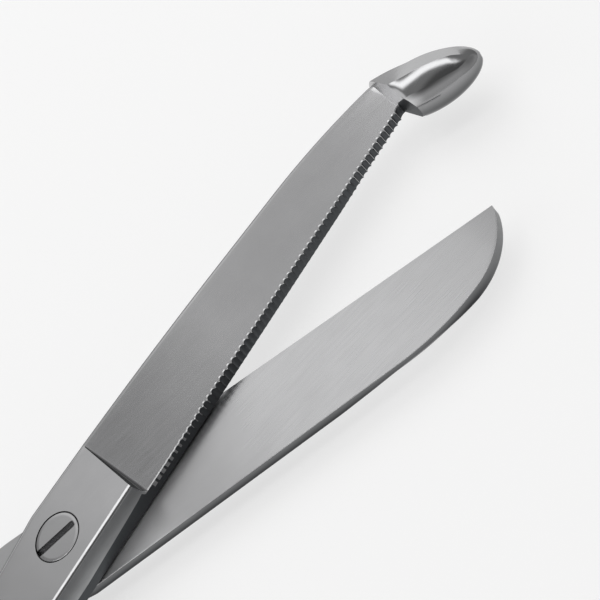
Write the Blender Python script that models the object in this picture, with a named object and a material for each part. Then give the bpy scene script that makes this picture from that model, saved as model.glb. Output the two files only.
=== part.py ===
"""Heavy bandage shears: a serrated half with a probe tip, a plain half and the pivot screw.

Both halves are drawn in the same half frame, in millimetres: x runs along the cutting edge
away from the pivot, u runs across the blade from the cutting edge to the back, and v runs
outwards from the flat inner face. The pivot is the line x = 0, u = 0. The plain half lies on
the ground with its inner face up, and the serrated half lies on it with its inner face down.
"""

from math import acos, asin, atan2, cos, hypot, pi, radians, sin
from types import SimpleNamespace

import bmesh
import bpy
from mathutils import Matrix, Vector

MM = 0.001

# Joint
half_thickness = 5.3
inner_gap = 0.3
rest_angle = 30.0
closed_angle = 9.0
joint_rear = 12.0
joint_round = 0.45
joint_lean = 0.45

# Sizes that the two halves share by name; pairs run from the joint to the blade's end
serrated = SimpleNamespace(
    edge_offset=7.65,
    back_offset=7.35,
    rear_back=5.8,
    band=(2.0, 1.75),
    band_lean=0.15,
    spine=(half_thickness, 4.0),
    side=(4.8, 3.6),
    bevel=(1.3, 1.0),
    hole_length=32.0,
    hole_width=24.0,
)
plain = SimpleNamespace(
    edge_offset=9.7,
    back_offset=7.75,
    rear_back=6.2,
    band=(2.0, 1.0),
    band_lean=0.3,
    spine=(half_thickness, 2.4),
    side=(1.8, 1.2),
    bevel=(4.2, 1.8),
    hole_length=46.0,
    hole_width=27.0,
)

# Line of both backs, in the order in which it bends
back_slope = 0.0437
serrated_straight = 19.0
serrated_ease_length = 30.0
serrated_ease_radius = 750.0
serrated_second_straight = 15.0
serrated_neck_radius = 118.0
serrated_neck = 86.8
plain_straight = 44.0
plain_ease_length = 27.7
plain_ease_radius = 167.0
plain_tip_radius = 13.8
plain_tip_width = 0.5

# Step between joint and blade
step_at_edge = 12.3
step_at_back = 13.8
step_run = 0.3
step_lean = 0.2

# Corners of the sections
edge_round = 0.05
rim_round = 0.15
cut_limit = 0.96

# Serration
groove_pitch = 1.15
groove_first = 15.0
groove_last = 85.0
groove_radius = 0.62
groove_mouth = 1.06
groove_depth = 0.4
groove_first_depth = 0.12
groove_fade = 22.0

# Probe tip
probe_heel = (86.3, -5.4)
probe_bend = (90.9, -10.3)
probe_nose = (99.2, -16.6)
probe_heel_turn = 8.0
probe_turn_share = 0.35
probe_heel_half_width = 4.1
probe_half_width = 5.0
probe_widest = 0.4
probe_heel_half_height = 3.3
probe_half_height = 4.4
probe_highest = 0.14
probe_centre = 2.4
probe_nose_drop = 0.3
probe_nose_flat = 0.995

# Clearance cut below the probe, a sector about the pivot
relief_clearance = 5.3
relief_span = 16.0
relief_low_turn = -22.0
relief_high_turn = 10.0

# Handles
shank_width = 7.5
shank_height = 6.4
shank_gap = 1.2
shank_start = 34.0
shank_crank_end = 58.0
shank_softness = 0.42
ring_front = 70.0
ring_gap = 0.8
rod_width = 5.6
rod_height = 7.2
rod_cover = 0.5
merge_share = 0.35

# Pivot screw
head_radius = 4.0
head_height = 2.0
head_clearance = 0.2
seat_clearance = 0.3
bearing_radius = 2.6
bearing_clearance = 0.1
thread_radius = 2.2
thread_clearance = 0.3
screw_edge_break = 0.15
slot_width = 0.9
slot_depth = 1.1
slot_angle = -5.0

# Mesh fineness
corner_steps = 3
joint_stations = (8.0, 0.0)
rear_shares = (0.25, 0.6, 1.0)
shank_bend_steps = 6
shank_steps = 8
rod_sides = 14
ring_steps = 44
probe_sides = 20
probe_steps = 16
relief_steps = 16
bore_sides = 64
groove_sides = 6
round_angle = 30.0

cutter_overrun = 1.0
serrated_floor = half_thickness + inner_gap
stack_height = 2 * half_thickness + inner_gap
closed_half_angle = radians(closed_angle / 2)
handle_x = Vector((cos(closed_half_angle), -sin(closed_half_angle)))
handle_y = Vector((sin(closed_half_angle), cos(closed_half_angle)))


def smooth(value):
    """Ease from 0 to 1 without a corner at either end."""
    share = min(max(value, 0.0), 1.0)
    return share * share * (3 - 2 * share)


def mix(low, high, share):
    """Value that lies a share of the way from low to high."""
    return low + (high - low) * share


def handle_point(along, across):
    """Half-frame place of a point given along and across the closed shears' middle line."""
    return handle_x * along + handle_y * across


def clear_scene():
    for item in list(bpy.data.objects):
        bpy.data.objects.remove(item, do_unlink=True)


def steel(name, colour, roughness):
    material = bpy.data.materials.new(name)
    material.use_nodes = True
    shader = material.node_tree.nodes["Principled BSDF"]
    shader.inputs["Base Color"].default_value = (*colour, 1.0)
    shader.inputs["Metallic"].default_value = 1.0
    shader.inputs["Roughness"].default_value = roughness
    material.diffuse_color = (*colour, 1.0)
    return material


def add_object(name, mesh, matrix):
    item = bpy.data.objects.new(name, mesh)
    bpy.context.scene.collection.objects.link(item)
    item.matrix_world = matrix
    return item


def helper(name, mesh, matrix):
    """A solid that only cuts or joins, kept out of the finished part."""
    item = add_object(name, mesh, matrix)
    item.hide_render = True
    item.display_type = "WIRE"
    return item


def combine(target, tool, operation):
    boolean = target.modifiers.new(tool.name, "BOOLEAN")
    boolean.operation = operation
    boolean.solver = "EXACT"
    boolean.object = tool


def loft(name, rings, closed=False):
    """Mesh through rings of points, capped at both ends unless the last ring meets the first."""
    mesh = bpy.data.meshes.new(name)
    bm = bmesh.new()
    loops = [[bm.verts.new(Vector(point) * MM) for point in ring] for ring in rings]
    count = len(loops[0])
    pairs = list(zip(loops, loops[1:]))
    if closed:
        pairs.append((loops[-1], loops[0]))
    for ring, after in pairs:
        for k in range(count):
            following = (k + 1) % count
            bm.faces.new((ring[k], ring[following], after[following], after[k]))
    if not closed:
        bm.faces.new(loops[0])
        bm.faces.new(loops[-1])
    bmesh.ops.recalc_face_normals(bm, faces=bm.faces)
    bm.to_mesh(mesh)
    bm.free()
    return mesh


def shade_round(mesh):
    mesh.shade_smooth()
    mesh.set_sharp_from_angle(angle=radians(round_angle))


def rounded(corners, cuts):
    """Closed outline whose corners are curves that start and end their two cuts away.

    Two cuts that would meet on a side are shortened in the same proportion.
    """
    corners = [Vector(corner) for corner in corners]
    count = len(corners)
    fits = []
    for k in range(count):
        following = (k + 1) % count
        side = (corners[following] - corners[k]).length
        fits.append(min(1.0, cut_limit * side / (cuts[k][1] + cuts[following][0])))
    points = []
    for k, corner in enumerate(corners):
        before = (corners[k - 1] - corner).normalized() * (cuts[k][0] * fits[k - 1])
        after = (corners[(k + 1) % count] - corner).normalized() * (cuts[k][1] * fits[k])
        for j in range(corner_steps + 1):
            t = j / corner_steps
            points.append(corner + before * (1 - t) ** 2 + after * t * t)
    return points


def walk(start, runs):
    """Points (x, u) along a line that heads down by back_slope and bends by arcs.

    Each run is (length, radius, steps); a run with no radius is straight.
    """
    x, u = start
    heading = back_slope
    points = [(x, u)]
    for length, radius, steps in runs:
        for _ in range(steps):
            stride = length / steps
            turn = stride / radius if radius else 0.0
            x += stride * cos(heading + turn / 2)
            u -= stride * sin(heading + turn / 2)
            heading += turn
            points.append((x, u))
    return points


def serrated_back():
    """Back line of the serrated blade, from the pivot to the neck."""
    eased = serrated_straight + serrated_ease_length + serrated_second_straight
    runs = [
        (serrated_straight, None, 2),
        (serrated_ease_length, serrated_ease_radius, 3),
        (serrated_second_straight, None, 1),
        (serrated_neck - eased, serrated_neck_radius, 8),
    ]
    return walk((0.0, serrated.back_offset), runs)


def plain_back():
    """Back line of the plain blade, from the pivot round the tip to the cutting edge."""
    start = (0.0, plain.back_offset)
    runs = [(plain_straight, None, 3), (plain_ease_length, plain_ease_radius, 4)]
    last = walk(start, runs)[-1]
    heading = back_slope + plain_ease_length / plain_ease_radius
    drop = last[1] + plain.edge_offset - plain_tip_width
    end_heading = acos(cos(heading) - drop / plain_tip_radius)
    runs.append(((end_heading - heading) * plain_tip_radius, plain_tip_radius, 12))
    return walk(start, runs)


def on_line(points, x):
    """u of a line given by points at rising x."""
    for (x0, u0), (x1, u1) in zip(points, points[1:]):
        if x <= x1:
            return mix(u0, u1, (x - x0) / (x1 - x0))
    return points[-1][1]


def blade_outline(half, back, share):
    """Section of a blade: edge, rim of the ground band, the two ends of the back's bevel, back."""
    band, spine, side, bevel = (mix(*pair, share) for pair in (half.band, half.spine, half.side, half.bevel))
    low = -half.edge_offset
    corners = [(low, 0), (low + half.band_lean, band), (back - bevel, spine), (back, side), (back, 0)]
    rim = (rim_round, rim_round)
    return rounded(corners, [(edge_round, edge_round), rim, rim, rim, rim])


def joint_outline(half, back):
    """Section of the joint, as thick at the cutting side as at the back."""
    low = -half.edge_offset
    corners = [
        (low, 0),
        (low + joint_lean, half_thickness),
        (back - half.bevel[0], half_thickness),
        (back, half.side[0]),
        (back, 0),
    ]
    rim = (rim_round, rim_round)
    return rounded(corners, [rim, (joint_round, joint_round), rim, rim, rim])


def half_rings(half, line):
    """Sections of one half, from the blade's end over the joint to the shank's end."""
    reach = line[-1][0]
    root_back = on_line(line, step_at_back)

    def step_x(u):
        share = (u + half.edge_offset) / (root_back + half.edge_offset)
        return mix(step_at_edge, step_at_back, share)

    rings = []
    for x, back in reversed(line):
        if x > step_at_back + 1.0:
            share = (x - step_at_back) / (reach - step_at_back)
            rings.append([(x, *point) for point in blade_outline(half, back, share)])
    root = blade_outline(half, root_back, 0.0)
    ridge = joint_outline(half, root_back)
    foot = []
    for low, high in zip(root, ridge):
        foot.append((step_x(low.x) + step_run + step_lean * (high.y - low.y), *low))
    rings.append(foot)
    rings.append([(step_x(point.x), *point) for point in ridge])
    for x in joint_stations:
        rings.append([(x, *point) for point in joint_outline(half, on_line(line, x))])
    for share in rear_shares:
        back = mix(half.back_offset, half.rear_back, share)
        rings.append([(-joint_rear * share, *point) for point in joint_outline(half, back)])
    return rings + shank_rings(half)


def ring_values(half):
    """Centre and half sizes of the finger ring's middle line, along and across the handle."""
    half_length = (half.hole_length + rod_width) / 2
    half_width = (half.hole_width + rod_width) / 2
    along = -(ring_front + half_length + rod_width / 2)
    across = -(ring_gap / 2 + rod_width / 2 + half_width)
    return along, across, half_length, half_width


def ring_level(half):
    """v of the ring's middle, so that it stands on the ground."""
    ground = rod_height / 2
    return ground - serrated_floor if half is serrated else half_thickness - ground


def shank_section(half, centre, direction, width, height, middle, softness):
    """Section of the shank, from the joint's outline at softness 0 to a rounded rod at 1."""
    soft_width = width * shank_softness
    soft_height = height * shank_softness
    bevel_width = mix(half.bevel[0], soft_width / 2, softness)
    bevel_depth = mix(half_thickness - half.side[0], soft_height / 2, softness)
    lean = mix(joint_lean, 0.0, softness)
    left, right, top = -width / 2, width / 2, height / 2
    corners = [
        (left, -top),
        (left + lean, top),
        (right - bevel_width, top),
        (right, top - bevel_depth),
        (right, -top),
    ]
    low_cut = (mix(rim_round, soft_width, softness), mix(rim_round, soft_height, softness))
    top_cut = (mix(joint_round, soft_height, softness), mix(joint_round, soft_width, softness))
    bevel_cut = mix(rim_round, soft_width / 2, softness)
    side_cut = mix(rim_round, soft_height / 2, softness)
    cuts = [low_cut, top_cut, (bevel_cut, bevel_cut), (side_cut, side_cut), (low_cut[1], low_cut[0])]
    across = Vector((-direction.y, direction.x))
    ring = []
    for point in rounded(corners, cuts):
        place = centre + across * point.x
        ring.append((place.x, place.y, middle + point.y))
    return ring


def shank_rings(half):
    """Sections from behind the joint to the place where the shank enters its finger ring."""
    along, across, half_length, half_width = ring_values(half)
    merge_along = along + half_length * merge_share
    merge_across = across + half_width * sin(acos(merge_share))
    joint_width = half.edge_offset + half.rear_back
    start = Vector((-joint_rear, (half.rear_back - half.edge_offset) / 2))
    straight = -(shank_gap + shank_width) / 2
    rear = handle_point(-shank_start, straight)
    pull = (start - rear).length / 3
    hold = start + Vector((-pull, 0))
    ease = rear + handle_x * pull
    level = ring_level(half)
    rings = []
    for k in range(1, shank_bend_steps + 1):
        t = k / shank_bend_steps
        centre = start * (1 - t) ** 3 + hold * 3 * t * (1 - t) ** 2
        centre += ease * 3 * t * t * (1 - t) + rear * t ** 3
        slope = (hold - start) * (1 - t) ** 2 + (ease - hold) * 2 * t * (1 - t) + (rear - ease) * t * t
        width = mix(joint_width, shank_width, smooth(t))
        middle = half_thickness / 2
        direction = -slope.normalized()
        rings.append(shank_section(half, centre, direction, width, half_thickness, middle, smooth(t)))
    for k in range(1, shank_steps + 1):
        share = k / shank_steps
        run = mix(-shank_start, merge_along, share)
        side = mix(straight, merge_across, smooth(share))
        crank = smooth((-run - shank_start) / (shank_crank_end - shank_start))
        narrow = smooth((-run - shank_crank_end) / (-merge_along - shank_crank_end))
        width = mix(shank_width, rod_width - 2 * rod_cover, narrow)
        height = mix(mix(half_thickness, shank_height, crank), rod_height - 2 * rod_cover, narrow)
        middle = mix(half_thickness / 2, level, crank)
        rings.append(shank_section(half, handle_point(run, side), handle_x, width, height, middle, 1.0))
    return rings


def finger_ring(half):
    """Closed oval rod: an ellipse in plan with an elliptical section."""
    along, across, half_length, half_width = ring_values(half)
    level = ring_level(half)
    rings = []
    for k in range(ring_steps):
        turn = 2 * pi * k / ring_steps
        centre = handle_point(along + half_length * cos(turn), across + half_width * sin(turn))
        normal = handle_x * (half_width * cos(turn)) + handle_y * (half_length * sin(turn))
        normal.normalize()
        ring = []
        for j in range(rod_sides):
            roll = 2 * pi * (j + 0.5) / rod_sides
            place = centre + normal * (rod_width / 2 * cos(roll))
            ring.append((place.x, place.y, level + rod_height / 2 * sin(roll)))
        rings.append(ring)
    return rings


def probe_rings():
    """Almond-shaped tip: ellipses carried along a curve that turns towards the cutting side."""
    heel, bend, nose = Vector(probe_heel), Vector(probe_bend), Vector(probe_nose)
    rings = []
    for k in range(probe_steps + 1):
        s = sin(pi / 2 * k / probe_steps) * probe_nose_flat
        centre = heel * (1 - s) ** 2 + bend * 2 * s * (1 - s) + nose * s * s
        slope = (bend - heel) * (1 - s) + (nose - bend) * s
        heading = mix(-radians(probe_heel_turn), atan2(slope.y, slope.x), smooth(s / probe_turn_share))
        side = Vector((-sin(heading), cos(heading)))
        past = max(s - probe_widest, 0) / (1 - probe_widest)
        closing = (1 - past * past) ** 0.5
        width = mix(probe_heel_half_width, probe_half_width, smooth(s / probe_widest)) * closing
        height = mix(probe_heel_half_height, probe_half_height, smooth(s / probe_highest)) * closing
        middle = probe_centre - probe_nose_drop * s
        ring = []
        for j in range(probe_sides):
            roll = 2 * pi * j / probe_sides
            place = centre + side * (width * cos(roll))
            ring.append((place.x, place.y, middle + height * sin(roll)))
        rings.append(ring)
    return rings


def relief_rings():
    """Sector about the pivot that clears the plain blade's tip below the probe."""
    tip = plain_back()[-1]
    outer = hypot(*tip) + relief_clearance
    low_turn, high_turn = radians(relief_low_turn), radians(relief_high_turn)
    outline = []
    for k in range(relief_steps + 1):
        turn = mix(low_turn, high_turn, k / relief_steps)
        outline.append((outer * cos(turn), outer * sin(turn)))
    inner = outer - relief_span
    outline.append((inner * cos(high_turn), inner * sin(high_turn)))
    outline.append((inner * cos(low_turn), inner * sin(low_turn)))
    bottom = probe_centre - 2 * probe_half_height
    return [[(x, u, level) for x, u in outline] for level in (bottom, 0.0)]


def groove_mesh():
    """One mesh of round-nosed prisms, one for each groove of the serration."""
    mesh = bpy.data.meshes.new("groove_cutter")
    bm = bmesh.new()
    half_mouth = groove_mouth / 2
    reach = asin(half_mouth / groove_radius)
    for k in range(int((groove_last - groove_first) / groove_pitch) + 1):
        x = groove_first + k * groove_pitch
        depth = mix(groove_first_depth, groove_depth, smooth((x - groove_first) / groove_fade))
        u = -serrated.edge_offset + serrated.band_lean / 2 + depth - groove_radius
        outline = [(x - half_mouth, u - groove_radius), (x + half_mouth, u - groove_radius)]
        for j in range(groove_sides + 1):
            turn = mix(reach, -reach, j / groove_sides)
            outline.append((x + groove_radius * sin(turn), u + groove_radius * cos(turn)))
        bottom = [bm.verts.new(Vector((px, pu, -cutter_overrun)) * MM) for px, pu in outline]
        top = [bm.verts.new(Vector((px, pu, half_thickness)) * MM) for px, pu in outline]
        bm.faces.new(bottom)
        bm.faces.new(top)
        for j in range(len(outline)):
            after = (j + 1) % len(outline)
            bm.faces.new((bottom[j], bottom[after], top[after], top[j]))
    bmesh.ops.recalc_face_normals(bm, faces=bm.faces)
    bm.to_mesh(mesh)
    bm.free()
    return mesh


def turned(name, profile):
    """Solid of revolution about Z from (radius, height) points, bottom to top."""
    rings = []
    for radius, height in profile:
        ring = []
        for k in range(bore_sides):
            turn = 2 * pi * k / bore_sides
            ring.append((radius * cos(turn), radius * sin(turn), height))
        rings.append(ring)
    return loft(name, rings)


def box_mesh(name, length, width, low, high):
    left, right, near, far = -length / 2, length / 2, -width / 2, width / 2
    corners = [(left, near), (right, near), (right, far), (left, far)]
    return loft(name, [[(x, y, level) for x, y in corners] for level in (low, high)])


def make_half(name, half, line, matrix, material):
    """One forged half: blade, joint and shank as one loft, joined with its finger ring."""
    mesh = loft(name, half_rings(half, line))
    shade_round(mesh)
    mesh.materials.append(material)
    item = add_object(name, mesh, matrix)
    ring = loft(name + "_ring", finger_ring(half), closed=True)
    shade_round(ring)
    combine(item, helper(name + "_ring", ring, matrix), "UNION")
    return item


def make_serrated_half(matrix, material):
    half = make_half("serrated_half", serrated, serrated_back(), matrix, material)
    probe = loft("probe_form", probe_rings())
    shade_round(probe)
    combine(half, helper("probe_form", probe, matrix), "UNION")
    relief = loft("probe_relief_cutter", relief_rings())
    combine(half, helper("probe_relief_cutter", relief, matrix), "DIFFERENCE")
    combine(half, helper("groove_cutter", groove_mesh(), matrix), "DIFFERENCE")
    seat = half_thickness - head_height - seat_clearance
    bore = bearing_radius + bearing_clearance
    counterbore = head_radius + head_clearance
    profile = [
        (bore, -cutter_overrun),
        (bore, seat),
        (counterbore, seat),
        (counterbore, half_thickness + cutter_overrun),
    ]
    combine(half, helper("head_seat_cutter", turned("head_seat_cutter", profile), matrix), "DIFFERENCE")


def make_plain_half(matrix, material):
    half = make_half("plain_half", plain, plain_back(), matrix, material)
    bore = thread_radius + thread_clearance
    profile = [(bore, -cutter_overrun), (bore, half_thickness + cutter_overrun)]
    combine(half, helper("thread_cutter", turned("thread_cutter", profile), matrix), "DIFFERENCE")


def make_pivot_screw(material):
    """Flush slotted screw: its head sits in the serrated half, its thread in the plain half."""
    head_base = stack_height - head_height
    shoulder = half_thickness + inner_gap / 2
    profile = [
        (thread_radius - screw_edge_break, 0.0),
        (thread_radius, screw_edge_break),
        (thread_radius, shoulder),
        (bearing_radius, shoulder + screw_edge_break),
        (bearing_radius, head_base),
        (head_radius, head_base),
        (head_radius, stack_height - screw_edge_break),
        (head_radius - screw_edge_break, stack_height),
    ]
    mesh = turned("pivot_screw", profile)
    shade_round(mesh)
    mesh.materials.append(material)
    screw = add_object("pivot_screw", mesh, Matrix())
    length = 2 * (head_radius + cutter_overrun)
    low, high = stack_height - slot_depth, stack_height + cutter_overrun
    slot = box_mesh("slot_cutter", length, slot_width, low, high)
    turn = Matrix.Rotation(radians(slot_angle), 4, "Z")
    combine(screw, helper("slot_cutter", slot, turn), "DIFFERENCE")


def main():
    clear_scene()
    satin = steel("satin_steel", (0.42, 0.43, 0.44), 0.32)
    ground = steel("ground_steel", (0.50, 0.51, 0.52), 0.28)
    bright = steel("bright_steel", (0.46, 0.47, 0.48), 0.25)
    half_rest = radians(rest_angle / 2)
    lift = Matrix.Translation((0, 0, serrated_floor * MM))
    upper = lift @ Matrix.Rotation(half_rest, 4, "Z")
    flip = Matrix.Translation((0, 0, half_thickness * MM))
    lower = flip @ Matrix.Rotation(-half_rest, 4, "Z") @ Matrix.Rotation(pi, 4, "X")
    make_serrated_half(upper, satin)
    make_plain_half(lower, ground)
    make_pivot_screw(bright)


main()
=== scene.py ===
# %% [markdown]
# # Heavy bandage shears
#
# These shears cut dressings off a patient. One blade is grooved along its edge, so that
# the cloth can't slide away, and ends in a blunt probe that glides over the skin. The other
# blade is plain. A slotted screw holds both, and each half is forged in one with its handle.
#
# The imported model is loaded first. It fixes where everything is and how it moves, and every
# finished piece rides on one of its bodies.

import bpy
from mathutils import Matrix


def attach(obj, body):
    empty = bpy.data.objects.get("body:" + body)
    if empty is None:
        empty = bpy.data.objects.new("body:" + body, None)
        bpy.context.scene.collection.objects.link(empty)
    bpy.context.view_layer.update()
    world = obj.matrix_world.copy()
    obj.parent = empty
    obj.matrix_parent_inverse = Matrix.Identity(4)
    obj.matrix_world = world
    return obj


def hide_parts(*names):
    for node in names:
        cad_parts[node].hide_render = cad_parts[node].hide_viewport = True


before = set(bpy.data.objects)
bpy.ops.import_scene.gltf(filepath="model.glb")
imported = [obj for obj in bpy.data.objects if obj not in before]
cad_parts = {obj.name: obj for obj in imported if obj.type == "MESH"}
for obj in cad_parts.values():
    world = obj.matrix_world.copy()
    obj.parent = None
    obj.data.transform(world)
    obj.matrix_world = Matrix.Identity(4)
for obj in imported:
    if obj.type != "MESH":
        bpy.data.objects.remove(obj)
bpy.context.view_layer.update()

# %% [markdown]
# ## Words and small helpers
#
# Everything is worked out in millimetres in the half frame: x runs along the cutting edge
# away from the pivot, u runs across from the cutting edge to the back, and v runs outwards
# from the flat inner face. Both halves share it, and one function turns it to the world:
# the serrated half is turned up by 15 degrees and lifted on top, and the plain half is turned
# over and lies below. Writing the shapes in this frame keeps every formula short.

import bpy
import numpy as np
from mathutils import Matrix, Vector

mm = 0.001
half_thickness = 5.3
half_angle = np.radians(15.0)
side_of = {"serrated": 1.0, "plain": -1.0}
lift_of = {"serrated": half_thickness + 0.3, "plain": half_thickness}


def smooth(value):
    """3 t^2 - 2 t^3 of the value held between 0 and 1: a rise without corners."""
    t = np.clip(value, 0.0, 1.0)
    return t * t * (3 - 2 * t)


def mix(low, high, share):
    """The value a share of the way from low to high."""
    return low + (high - low) * share


def to_world(points, half):
    """Turn half-frame millimetres to world metres.

    u and v change sign for the half that is turned over, then x and u turn about the pivot
    by plus or minus half the opening, and v is added to the height of the inner face.
    """
    side = side_of[half]
    turn = side * half_angle
    x, y = points[..., 0], points[..., 1] * side
    z = points[..., 2] * side + lift_of[half]
    return np.stack([x * np.cos(turn) - y * np.sin(turn), x * np.sin(turn) + y * np.cos(turn), z], -1) * mm


# %% [markdown]
# ## From a grid of points to a piece
#
# A rod, a blade and a ring are all the same thing to a mesh: an outline carried along a
# path. The points come as one array, path by outline, and the faces are the quads between
# neighbours, so no loop over vertices is needed. An end is closed by one flat face. The sign
# of the enclosed volume tells whether the faces look outwards, and if not they are turned.

# %% Helpers that make a mesh
def grid_faces(rows, columns, closed_path):
    """Quads between neighbouring points of a grid whose outline runs round in columns."""
    row = np.arange(rows if closed_path else rows - 1)[:, None]
    column = np.arange(columns)[None, :]
    after_row = (row + 1) % rows
    after_column = (column + 1) % columns
    quad = [row * columns + column, row * columns + after_column]
    quad += [after_row * columns + after_column, after_row * columns + column]
    return np.stack(quad, -1).reshape(-1, 4)


def enclosed_volume(points, quads):
    """Sum of the signed tetrahedra between the middle and the two triangles of each quad."""
    a, b, c, d = (points[quads[:, k]] - points.mean(axis=0) for k in range(4))
    return (np.einsum("ij,ij->i", a, np.cross(b, c)) + np.einsum("ij,ij->i", a, np.cross(c, d))).sum() / 6


def make_piece(name, grid, finishes, finish_index=None, closed_path=False, crisp=None):
    """Mesh object from a grid (path, outline, 3) of world points.

    finish_index holds the finish of each quad, and crisp tells which edges along the path are
    sharp. Such an edge joins two points whose numbers differ by one whole row.
    """
    rows, columns = grid.shape[:2]
    points = grid.reshape(-1, 3)
    quads = grid_faces(rows, columns, closed_path)
    outwards = enclosed_volume(points, quads) > 0
    faces = (quads if outwards else quads[:, ::-1]).tolist()
    if not closed_path:
        first, last = list(range(columns)), list(range((rows - 1) * columns, rows * columns))
        faces += [first[::-1], last] if outwards else [first, last[::-1]]
    mesh = bpy.data.meshes.new(name)
    mesh.from_pydata(points.tolist(), [], faces)
    for finish in finishes:
        mesh.materials.append(finish)
    if finish_index is not None:
        index = np.zeros(len(faces), dtype=np.int32)
        index[: len(quads)] = np.asarray(finish_index).reshape(-1)
        mesh.polygons.foreach_set("material_index", index)
    sharp = mesh.attributes.new("sharp_edge", "BOOLEAN", "EDGE")
    if crisp is not None:
        ends = np.empty(len(mesh.edges) * 2, dtype=np.int32)
        mesh.edges.foreach_get("vertices", ends)
        ends = np.sort(ends.reshape(-1, 2), axis=1)
        along = ends[:, 1] - ends[:, 0] == columns
        row, column = ends[:, 0] // columns, ends[:, 0] % columns
        sharp.data.foreach_set("value", along & crisp[np.minimum(row, rows - 2), column])
    mesh.update()
    piece = bpy.data.objects.new(name, mesh)
    bpy.context.scene.collection.objects.link(piece)
    return piece


# %% Helpers that cut and join
def drop(*things):
    """Remove helper objects and their meshes."""
    for thing in things:
        mesh = thing.data
        bpy.data.objects.remove(thing, do_unlink=True)
        bpy.data.meshes.remove(mesh)


def combine(piece, other, operation):
    """Join another closed form to a piece or cut it out, keep the result as the mesh, drop the other.

    The exact solver now and then gives nothing back, so an empty result stops the script.
    """
    step = piece.modifiers.new("combine", "BOOLEAN")
    step.operation, step.solver, step.object = operation, "EXACT", other
    graph = bpy.context.evaluated_depsgraph_get()
    mesh = bpy.data.meshes.new_from_object(piece.evaluated_get(graph), preserve_all_data_layers=True, depsgraph=graph)
    if not mesh.polygons:
        raise RuntimeError(piece.name + ": the boolean came out empty")
    piece.modifiers.clear()
    before, piece.data = piece.data, mesh
    bpy.data.meshes.remove(before)
    mesh.name = piece.name
    drop(other)


def finish_shading(piece, angle=32.0):
    """Smooth shading with crisp edges, and normals that follow the large faces, as on ground steel."""
    mesh = piece.data
    mesh.shade_smooth()
    marked = np.zeros(len(mesh.edges), dtype=bool)
    mesh.attributes["sharp_edge"].data.foreach_get("value", marked)
    mesh.set_sharp_from_angle(angle=np.radians(angle))
    steep = np.zeros(len(mesh.edges), dtype=bool)
    mesh.attributes["sharp_edge"].data.foreach_get("value", steep)
    mesh.attributes["sharp_edge"].data.foreach_set("value", marked | steep)
    weighted = piece.modifiers.new("flat faces stay flat", "WEIGHTED_NORMAL")
    weighted.keep_sharp = True
    weighted.weight = 80


# %% [markdown]
# ## Camera
#
# The photograph looks down on the shears at 46 degrees with a long lens, and the camera is
# rolled by 46 degrees, so that the blades run across the picture from corner to corner. The
# angles come from the screw head, which is a circle seen as an ellipse, and from the blades'
# straight edges. A lens is set by its length on a 36 mm sensor.

# %% Camera
aim = Vector((51.77, -2.18, 10.9)) * mm
distance, heading, dip, roll = 227.4 * mm, np.radians(90.17), np.radians(45.95), np.radians(46.12)
forward = Vector((np.cos(dip) * np.cos(heading), np.cos(dip) * np.sin(heading), -np.sin(dip)))
lens = bpy.data.cameras.new("photo camera")
lens.lens, lens.sensor_width, lens.clip_start = 90.0, 36.0, 0.01
camera = bpy.data.objects.new("photo camera", lens)
bpy.context.scene.collection.objects.link(camera)
turn = forward.to_track_quat("-Z", "Y").to_matrix().to_4x4() @ Matrix.Rotation(-roll, 4, "Z")
camera.matrix_world = Matrix.Translation(aim - forward * distance) @ turn
bpy.context.scene.camera = camera
bpy.context.scene.view_settings.view_transform = "Standard"
print("camera at mm:", [round(v / mm, 1) for v in camera.matrix_world.translation])

# %% [markdown]
# ## Nodes and colours
#
# One function adds a node, sets its values and makes its links, so a material reads like a
# list of steps. Colours are written as on the web and turned to the linear values that a
# shader works with.

# %% Helpers for materials
def linear(hexadecimal):
    """sRGB hex to linear: c / 12.92 below 0.04045, else ((c + 0.055) / 1.055) ** 2.4, with alpha 1."""
    value = np.array([int(hexadecimal[k : k + 2], 16) for k in (1, 3, 5)]) / 255
    return (*np.where(value <= 0.04045, value / 12.92, ((value + 0.055) / 1.055) ** 2.4), 1.0)


def add_node(tree, kind, settings=None, values=None, links=None):
    """Add a node of a kind; settings are its properties, values its sockets, links its inputs."""
    node = tree.nodes.new(kind)
    for name, value in (settings or {}).items():
        setattr(node, name, value)
    for socket, value in (values or {}).items():
        node.inputs[socket].default_value = value
    for socket, source in (links or {}).items():
        tree.links.new(source, node.inputs[socket])
    return node


# %% [markdown]
# ## Light
#
# Bare steel shows its surroundings more than its own colour, so the room is what makes it
# look right. The room is grey all round. A tall soft light stands beyond the object, a soft
# strip hangs overhead and slants across the room, two weaker glows fill the space between
# them, and the far horizon, the left wall and the low front are pale like the table. A dark
# screen stands in front, above the table and below the strip, which puts a dark zone beside
# the light lines. The room is worked out from the direction alone, so every view sees the
# same room: east, north and height are the three parts of the direction, and each light is a
# product of bands in them. To the camera the room is plain white.

# %% The room as a world
world = bpy.data.worlds.new("studio")
bpy.context.scene.world = world
world.use_nodes = True
room = world.node_tree
room.nodes.clear()
where = add_node(room, "ShaderNodeTexCoord").outputs["Generated"]


def ease(source, low, high):
    """Smooth step from 0 at low to 1 at high; high may be the smaller of the two."""
    step = add_node(room, "ShaderNodeMapRange", {"interpolation_type": "SMOOTHSTEP"}, {1: low, 2: high}, {0: source})
    return step.outputs[0]


def calculate(operation, first, second):
    """A sum or product of a socket and another socket or number."""
    node = add_node(room, "ShaderNodeMath", {"operation": operation}, {}, {0: first})
    if isinstance(second, float):
        node.inputs[1].default_value = second
    else:
        room.links.new(second, node.inputs[1])
    return node.outputs[0]


def band(source, low, rise, fall, high):
    """1 between rise and fall, easing to 0 at low and high."""
    return calculate("MULTIPLY", ease(source, low, rise), ease(source, high, fall))


def light(brightness, *bands):
    """Brightness of one light: the product of its bands."""
    level = calculate("MULTIPLY", bands[0], brightness)
    for other in bands[1:]:
        level = calculate("MULTIPLY", level, other)
    return level


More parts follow.
